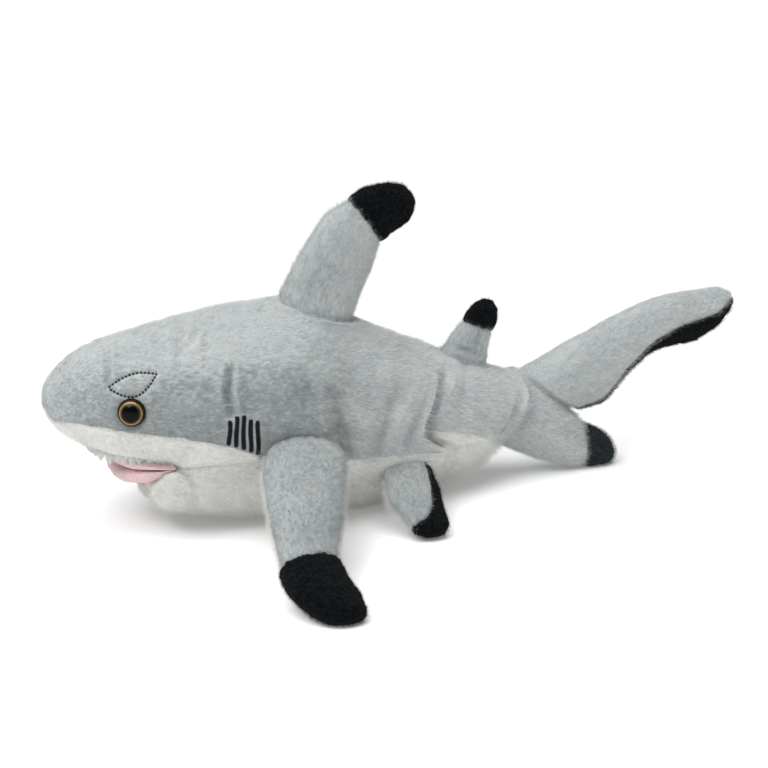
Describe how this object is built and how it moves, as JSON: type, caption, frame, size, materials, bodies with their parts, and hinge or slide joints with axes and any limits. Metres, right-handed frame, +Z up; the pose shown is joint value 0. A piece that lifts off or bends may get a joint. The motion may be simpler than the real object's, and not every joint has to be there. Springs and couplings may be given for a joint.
{
  "type": "plush shark",
  "caption": "Stuffed plush reef shark with dark fin tips, safety eyes, embroidered gills and a soft mouth, resting on its belly.",
  "frame": {"origin": "on the floor under the middle of the toy's box", "axes": "+X towards the tail, +Z up, the shark's left side at -Y"},
  "size_m": [0.338, 0.288, 0.1474],
  "materials": {
    "grey_plush": "short brushed plush, soft sheen",
    "white_plush": "short brushed plush",
    "black_fleece": "matt fleece",
    "pink_velour": "smooth velour",
    "gill_thread": "satin embroidery thread",
    "brow_thread": "running stitch in dark thread",
    "filling": "loose polyester fibre",
    "eye_plastic": "gloss, gold iris round a black pupil",
    "washer_plastic": "satin"
  },
  "bodies": {
    "trunk": {"back_left_panel": "grey_plush", "back_right_panel": "grey_plush", "muzzle_left_panel": "white_plush", "muzzle_right_panel": "white_plush", "belly_panel": "white_plush", "trunk_filling": "filling", "eye_left": "eye_plastic", "eye_right": "eye_plastic", "eye_washer_left": "washer_plastic", "eye_washer_right": "washer_plastic", "brow_stitch_left": "brow_thread", "brow_stitch_right": "brow_thread", "upper_lip": "pink_velour", "upper_teeth": "white_plush", "gill_stitch_left_1": "gill_thread", "gill_stitch_left_2": "gill_thread", "gill_stitch_left_3": "gill_thread", "gill_stitch_left_4": "gill_thread", "gill_stitch_left_5": "gill_thread", "gill_stitch_right_1": "gill_thread", "gill_stitch_right_2": "gill_thread", "gill_stitch_right_3": "gill_thread", "gill_stitch_right_4": "gill_thread", "gill_stitch_right_5": "gill_thread"},
    "jaw": {"lower_lip": "pink_velour", "chin_pad": "white_plush"},
    "tail": {"tail_left_panel": "grey_plush", "tail_right_panel": "grey_plush", "tail_belly_panel": "white_plush", "tail_filling": "filling"},
    "caudal": {"caudal_left_panel": "grey_plush", "caudal_right_panel": "grey_plush", "caudal_upper_trim": "black_fleece", "caudal_lower_tip": "black_fleece", "caudal_filling": "filling"},
    "dorsal_fin": {"dorsal_right_panel": "grey_plush", "dorsal_left_panel": "grey_plush", "dorsal_tip_cover": "black_fleece", "dorsal_filling": "filling"},
    "second_dorsal_fin": {"second_dorsal_right_panel": "grey_plush", "second_dorsal_left_panel": "grey_plush", "second_dorsal_tip_cover": "black_fleece", "second_dorsal_filling": "filling"},
    "pectoral_left_fin": {"pectoral_left_top_panel": "grey_plush", "pectoral_left_under_panel": "white_plush", "pectoral_left_tip_cover": "black_fleece", "pectoral_left_filling": "filling"},
    "pectoral_right_fin": {"pectoral_right_top_panel": "grey_plush", "pectoral_right_under_panel": "white_plush", "pectoral_right_tip_cover": "black_fleece", "pectoral_right_filling": "filling"},
    "pelvic_left_fin": {"pelvic_left_top_panel": "grey_plush", "pelvic_left_under_panel": "white_plush", "pelvic_left_tip_cover": "black_fleece", "pelvic_left_filling": "filling"},
    "pelvic_right_fin": {"pelvic_right_top_panel": "grey_plush", "pelvic_right_under_panel": "white_plush", "pelvic_right_tip_cover": "black_fleece", "pelvic_right_filling": "filling"}
  },
  "joints": [
    {"name": "tail_bend", "type": "hinge", "parent": "trunk", "child": "tail", "pos_m": [0.01, 0, 0.035], "axis": [0, 0, 1], "range_deg": [-18, 18], "stiffness_Nm_per_rad": 0.1},
    {"name": "caudal_bend", "type": "hinge", "parent": "tail", "child": "caudal", "pos_m": [0.06, 0, 0.033], "axis": [0, 0, 1], "range_deg": [-25, 25], "stiffness_Nm_per_rad": 0.1},
    {"name": "dorsal_sway", "type": "hinge", "parent": "trunk", "child": "dorsal_fin", "pos_m": [-0.04125, 0, 0.0956], "axis": [0.9518, 0, -0.3067], "range_deg": [-35, 35], "stiffness_Nm_per_rad": 0.1},
    {"name": "second_dorsal_sway", "type": "hinge", "parent": "tail", "child": "second_dorsal_fin", "pos_m": [0.0305, 0, 0.06365], "axis": [0.9481, 0, -0.3178], "range_deg": [-35, 35], "stiffness_Nm_per_rad": 0.05},
    {"name": "pectoral_left_flap", "type": "hinge", "parent": "trunk", "child": "pectoral_left_fin", "pos_m": [-0.065, -0.0476, 0.0445], "axis": [-1, 0, 0], "range_deg": [0, 50], "stiffness_Nm_per_rad": 0.1},
    {"name": "pectoral_right_flap", "type": "hinge", "parent": "trunk", "child": "pectoral_right_fin", "pos_m": [-0.065, 0.0476, 0.0445], "axis": [1, 0, 0], "range_deg": [0, 50], "stiffness_Nm_per_rad": 0.1},
    {"name": "pelvic_left_flap", "type": "hinge", "parent": "trunk", "child": "pelvic_left_fin", "pos_m": [-0.01175, -0.039, 0.024], "axis": [-1, 0, 0], "range_deg": [0, 45], "stiffness_Nm_per_rad": 0.05},
    {"name": "pelvic_right_flap", "type": "hinge", "parent": "trunk", "child": "pelvic_right_fin", "pos_m": [-0.01175, 0.039, 0.024], "axis": [1, 0, 0], "range_deg": [0, 45], "stiffness_Nm_per_rad": 0.05},
    {"name": "jaw_open", "type": "hinge", "parent": "trunk", "child": "jaw", "pos_m": [-0.1176, 0, 0.01], "axis": [0, -1, 0], "range_deg": [0, 12], "stiffness_Nm_per_rad": 0.05}
  ]
}
